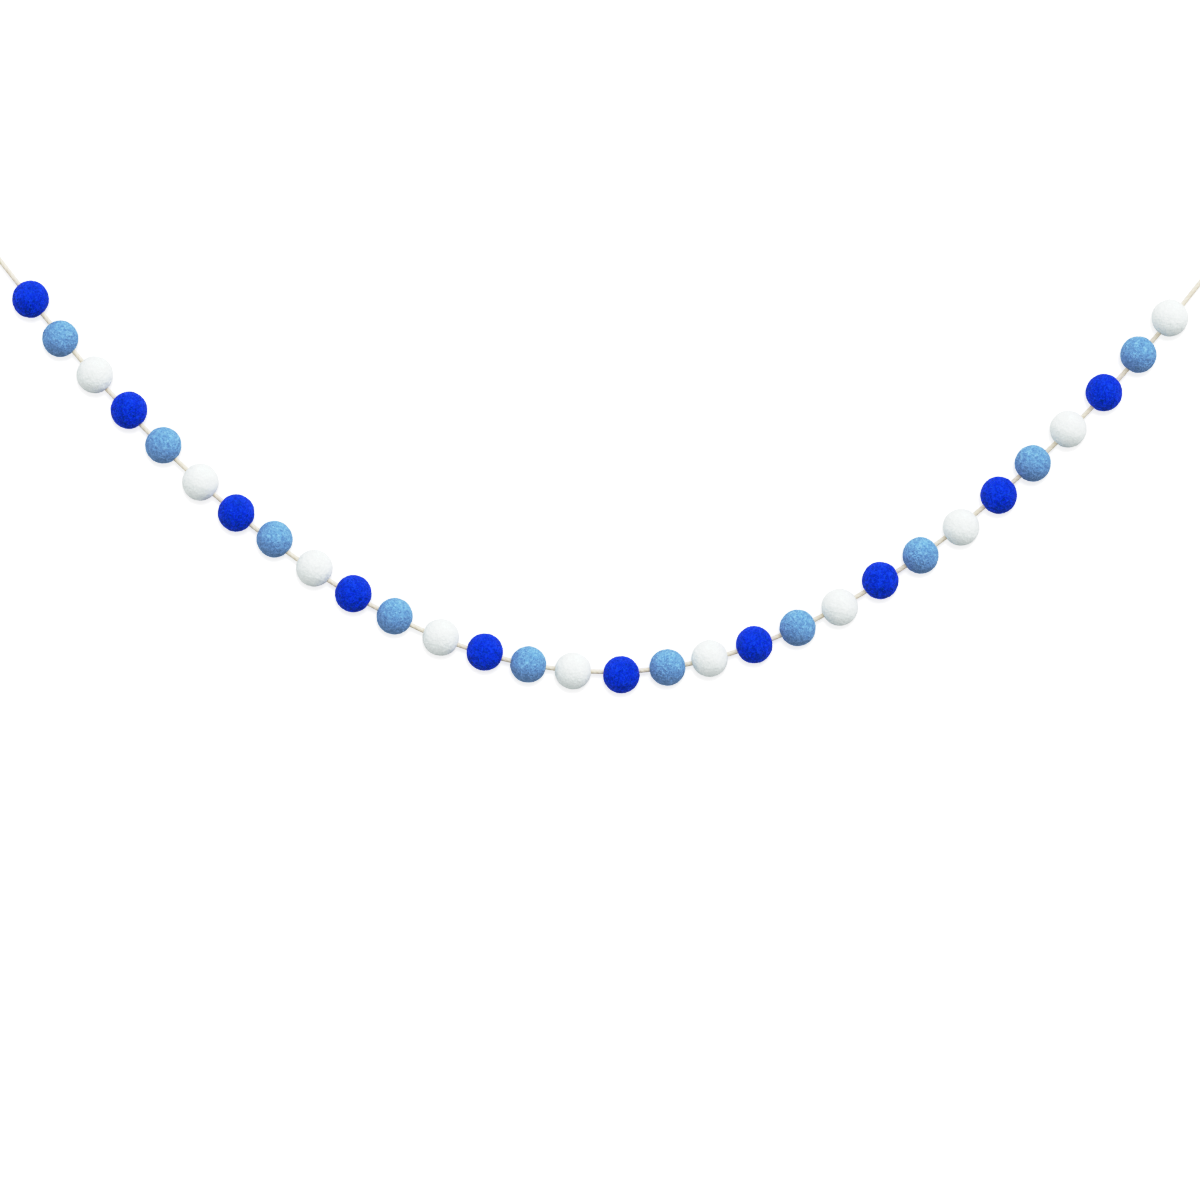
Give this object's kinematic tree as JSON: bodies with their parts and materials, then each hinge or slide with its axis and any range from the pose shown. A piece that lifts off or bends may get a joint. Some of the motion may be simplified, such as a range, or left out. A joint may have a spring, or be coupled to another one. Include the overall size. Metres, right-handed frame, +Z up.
{
  "type": "felt ball garland",
  "caption": "Felt ball garland: round felted wool balls in repeating blue, light blue and white, threaded on a cotton cord that hangs in a swag from its tied end loops.",
  "frame": {"origin": "inside the bight of the left hanging loop, where the nail or hook bears on the cord", "axes": "+X from the left loop towards the right loop, +Y from the viewer towards the wall, +Z up"},
  "size_m": [0.8946, 0.0248, 0.341],
  "materials": {
    "blue_felt": "matt felted wool, royal blue, curly fibres with paler stray hairs",
    "light_blue_felt": "matt felted wool, light blue, curly fibres with darker crevices",
    "white_felt": "matt felted wool, white, soft fuzzy surface",
    "cotton_cord": "undyed twisted cotton cord, beige"
  },
  "bodies": {
    "root": {"ball_01_blue": "blue_felt", "ball_02_light_blue": "light_blue_felt", "ball_03_white": "white_felt", "ball_04_blue": "blue_felt", "ball_05_light_blue": "light_blue_felt", "ball_06_white": "white_felt", "ball_07_blue": "blue_felt", "ball_08_light_blue": "light_blue_felt", "ball_09_white": "white_felt", "ball_10_blue": "blue_felt", "ball_11_light_blue": "light_blue_felt", "ball_12_white": "white_felt", "ball_13_blue": "blue_felt", "ball_14_light_blue": "light_blue_felt", "ball_15_white": "white_felt", "ball_16_blue": "blue_felt", "ball_17_light_blue": "light_blue_felt", "ball_18_white": "white_felt", "ball_19_blue": "blue_felt", "ball_20_light_blue": "light_blue_felt", "ball_21_white": "white_felt", "ball_22_blue": "blue_felt", "ball_23_light_blue": "light_blue_felt", "ball_24_white": "white_felt", "ball_25_blue": "blue_felt", "ball_26_light_blue": "light_blue_felt", "ball_27_white": "white_felt", "ball_28_blue": "blue_felt", "ball_29_light_blue": "light_blue_felt", "ball_30_white": "white_felt", "cord": "cotton_cord", "left_loop": "cotton_cord", "right_loop": "cotton_cord"}
  },
  "joints": []
}
